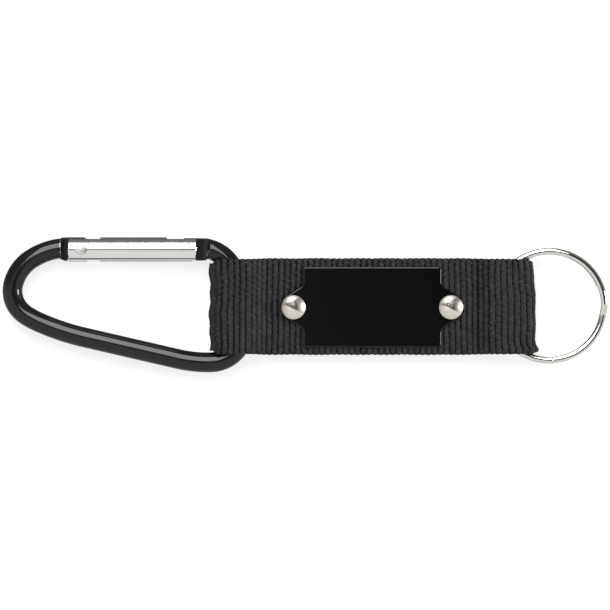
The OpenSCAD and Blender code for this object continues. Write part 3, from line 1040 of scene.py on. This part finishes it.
class KEYRING_OT_rivets(bpy.types.Operator):
    """Presses the two nickel rivets: a domed cap in front and a domed post behind"""

    bl_idname = "keyring.rivets"
    bl_label = "Rivets"

    def execute(self, context):
        look = context.scene.keyring_metal
        nickel = bright_nickel("post_nickel", scaled(look.nickel, 0.82), 0.34)
        cream = warmed(look.nickel)
        # The caps' nickel carries a painted reflection: a dark wedge at 8 % of the cream colour.
        wear_and_painted_reflection = nickel_with_painted_reflection("rivet_nickel", cream, scaled(cream, 0.08), 0.44)
        radius = look.rivet_diameter / 2
        cap_brim, post_brim = 0.42 * MM, 0.4 * MM
        socket, shank_radius, base_gap = 1.55 * MM, 1.5 * MM, 0.02 * MM
        socket_floor, socket_mouth = 0.5 * MM, 0.06 * MM
        for side in ("left", "right"):
            low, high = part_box(side + "_rivet_cap")
            centre = ((low.x + high.x) / 2, (low.y + high.y) / 2)
            dome = domed(radius, cap_brim, high.z - low.z)
            profile = [(socket, socket_floor), (socket, socket_mouth)] + dome
            cap = new_piece(side + "_cap", *lathe(profile, (*centre, low.z)), wear_and_painted_reflection)
            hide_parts(side + "_rivet_cap")
            post_low, post_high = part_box(side + "_rivet_post")
            base = MID_Z - 2 * LAYER
            head = [(r, base - z) for r, z in domed(radius, post_brim, base - post_low.z)]
            shank = [(shank_radius, post_high.z), (shank_radius, base - base_gap)]
            post = new_piece(side + "_post", *lathe((shank + head)[::-1], (*centre, 0)), nickel)
            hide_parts(side + "_rivet_post")
            for piece in (cap, post):
                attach(piece, "strap")
        return {"FINISHED"}


# ---- split ring ----


class KEYRING_OT_ring(bpy.types.Operator):
    """Coils the split ring's wire, with its crossing and its two cut ends"""

    bl_idname = "keyring.ring"
    bl_label = "Split Ring"

    def execute(self, context):
        look = context.scene.keyring_metal
        low, high = RING_BOX
        radius = (high.y - low.y - look.ring_wire_width) / 2
        hub = Vector((high.x - radius - look.ring_wire_width / 2, (low.y + high.y) / 2, MID_Z))
        wide, tall = look.ring_wire_width / 2, look.ring_wire_height / 2
        level = tall + 0.03 * MM
        upper_end, lower_end = 273, 22 - 360
        cross_at, cross_half, shift = -4, 6, 0.12 * MM
        full_roll = math.radians(14)
        c, s = squared(full_turn(28), 2.05)
        end_trim = [0.86, 0.97]
        angles = np.concatenate([
            [upper_end + 0.4, upper_end + 0.15],
            np.arange(upper_end, lower_end, -1.0),
            [lower_end, lower_end - 0.15, lower_end - 0.4],
        ])
        rings = []
        for i, angle in enumerate(angles):
            passed = float(ease(-angle, -cross_at - cross_half, -cross_at + cross_half))
            z = hub.z + level * (1 - 2 * passed)
            from_end = min(i, len(angles) - 1 - i)
            trim = end_trim[from_end] if from_end < len(end_trim) else 1
            out = Vector((math.cos(math.radians(angle)), math.sin(math.radians(angle)), 0))
            centre = Vector((hub.x - shift * passed, hub.y, z)) + out * radius
            roll = full_roll * float(ease(out.x, 0, 0.7) * ease(-out.y, -0.1, 0.35))
            aside = trim * (wide * c * math.cos(roll) - tall * s * math.sin(roll))
            above = trim * (wide * c * math.sin(roll) + tall * s * math.cos(roll))
            ring_x, ring_y = centre.x + out.x * aside, centre.y + out.y * aside
            rings.append(np.stack([ring_x, ring_y, centre.z + above], 1))
        nickel = bright_nickel("ring_nickel", look.nickel, 0.035)
        ring = new_piece("split_ring_wire", *loft(rings), nickel)
        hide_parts("split_ring")
        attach(ring, "ring")
        return {"FINISHED"}


# ---- stage ----


def softbox(name, direction, size, radiance):
    """A rectangular lamp with an even radiance that looks at the object from a direction."""
    distance = 0.7
    toward = Vector(direction).normalized()
    lamp = bpy.data.lights.new(name, "AREA")
    lamp.shape = "RECTANGLE"
    lamp.size, lamp.size_y = size
    lamp.energy = radiance * math.pi * size[0] * size[1]
    placed = bpy.data.objects.new(name, lamp)
    placed.location = toward * distance
    placed.rotation_mode = "QUATERNION"
    placed.rotation_quaternion = toward.to_track_quat("Z", "Y")
    bpy.context.scene.collection.objects.link(placed)


def tent_world():
    """A pale tent: bright in front, dim behind, with a dark gap overhead.

    Each step turns one direction's range into a brightness, and the steps are multiplied."""
    world = bpy.data.worlds.new("tent")
    world.use_nodes = True
    sky = Nodes(world.node_tree)
    output = sky.node("ShaderNodeOutputWorld")
    background = sky.node("ShaderNodeBackground")
    place = sky.node("ShaderNodeTexCoord")
    split = sky.node("ShaderNodeSeparateXYZ")
    gap = sky.node("ShaderNodeVectorMath", operation="DOT_PRODUCT")
    gap.inputs[1].default_value = Vector((0.3, 0.1, 0.95)).normalized()
    sky.link(place, "Generated", split, 0)
    sky.link(place, "Generated", gap, 0)
    steps = [
        (split, "Y", -0.08, 0.3, 0.8, 0.22),
        (gap, "Value", 0.885, 0.965, 1.0, 0.06),
        (split, "Z", -0.15, 0.02, 0.7, 1.0),
    ]
    front, overhead, upper = [sky.spread(*step, interpolation_type="SMOOTHSTEP") for step in steps]
    total = sky.product(sky.product(front, overhead), upper)
    sky.link(total, 0, background, "Strength")
    background.inputs["Color"].default_value = (1, 0.985, 0.955, 1)
    sky.link(background, 0, output, "Surface")
    return world


class KEYRING_OT_stage(bpy.types.Operator):
    """Sets the floor, the lamps, the tent and the camera"""

    bl_idname = "keyring.stage"
    bl_label = "Stage"

    def execute(self, context):
        look = context.scene.keyring_stage
        scene = context.scene
        half = 4.0
        corners = [(-half, -half, 0), (half, -half, 0), (half, half, 0), (-half, half, 0)]
        floor = new_piece("floor", corners, [(0, 1, 2, 3)], pale_floor("pale_board", look.floor))
        floor.visible_glossy = False
        softbox("top_softbox", direction=(-0.11, 0.61, 0.79), size=(0.5, 0.62), radiance=6.3)
        softbox("side_strip", direction=(0.94, 0.065, 0.31), size=(0.2, 0.24), radiance=19.0)
        scene.world = tent_world()
        camera = bpy.data.cameras.new("camera")
        camera.lens, camera.sensor_width = 200, 36
        distance = look.frame_width * camera.lens / camera.sensor_width
        camera.clip_start, camera.clip_end = 0.05, 20
        placed = bpy.data.objects.new("camera", camera)
        placed.location = (0, 0, MID_Z + distance)
        scene.collection.objects.link(placed)
        scene.camera = placed
        scene.view_settings.view_transform = "Standard"
        return {"FINISHED"}


class KEYRING_PT_panel(bpy.types.Panel):
    """Lists the keyring's settings and pieces"""

    bl_idname = "KEYRING_PT_panel"
    bl_label = "Carabiner Keyring"
    bl_space_type = "VIEW_3D"
    bl_region_type = "UI"
    bl_category = "Keyring"

    def draw(self, context):
        layout = self.layout
        for holder in SETTINGS:
            settings = getattr(context.scene, holder)
            group = layout.box()
            for key in settings.__annotations__:
                group.prop(settings, key)
        for operator in OPERATORS:
            layout.operator(operator.bl_idname)


SETTINGS = {
    "keyring_hook": HookSettings,
    "keyring_gate": GateSettings,
    "keyring_strap": StrapSettings,
    "keyring_plate": PlateSettings,
    "keyring_metal": MetalSettings,
    "keyring_stage": StageSettings,
}
OPERATORS = [
    KEYRING_OT_hook_rod, KEYRING_OT_gate, KEYRING_OT_pivot, KEYRING_OT_spring, KEYRING_OT_strap,
    KEYRING_OT_plate, KEYRING_OT_rivets, KEYRING_OT_ring, KEYRING_OT_stage,
]


def register():
    for kind in (*SETTINGS.values(), *OPERATORS, KEYRING_PT_panel):
        bpy.utils.register_class(kind)
    for holder, kind in SETTINGS.items():
        setattr(bpy.types.Scene, holder, bpy.props.PointerProperty(type=kind))


def unregister():
    for holder in SETTINGS:
        delattr(bpy.types.Scene, holder)
    for kind in (KEYRING_PT_panel, *reversed(OPERATORS), *reversed(SETTINGS.values())):
        bpy.utils.unregister_class(kind)


def main():
    register()
    for operator in OPERATORS:
        group, name = operator.bl_idname.split(".")
        getattr(getattr(bpy.ops, group), name)()


if __name__ == "__main__":
    main()
